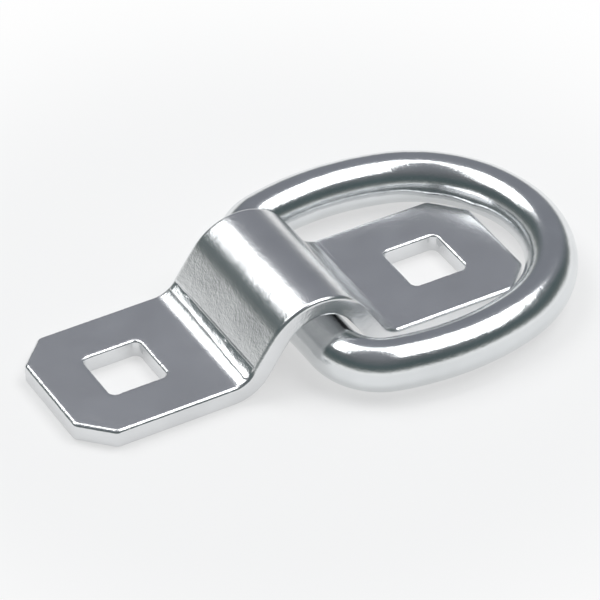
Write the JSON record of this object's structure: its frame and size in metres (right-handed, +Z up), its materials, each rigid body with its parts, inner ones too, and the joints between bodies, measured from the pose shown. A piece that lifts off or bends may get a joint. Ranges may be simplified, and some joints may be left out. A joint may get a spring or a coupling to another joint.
{
  "type": "bolt-on d-ring",
  "caption": "Bent steel strap with square bolt holes in its flat feet and a closed D-shaped ring that swings under its raised saddle.",
  "frame": {"origin": "midway between the centres of the square bolt holes, on the mounting face of the feet", "axes": "+X along the strap towards the foot that the ring lies round, +Z up, away from the surface that the feet bolt to"},
  "size_m": [0.1328, 0.0772, 0.0211],
  "materials": {
    "strap_zinc": "zinc plated steel, satin with a fine speckle",
    "ring_zinc": "zinc plated steel, bright"
  },
  "bodies": {
    "bracket": {"bracket": "strap_zinc"},
    "d_ring": {"d_ring": "ring_zinc"}
  },
  "joints": [
    {"name": "ring_swing", "type": "hinge", "parent": "bracket", "child": "d_ring", "pos_m": [0.00356, 0, 0.00615], "axis": [0, -1, 0], "range_deg": [0, 175.5]}
  ]
}
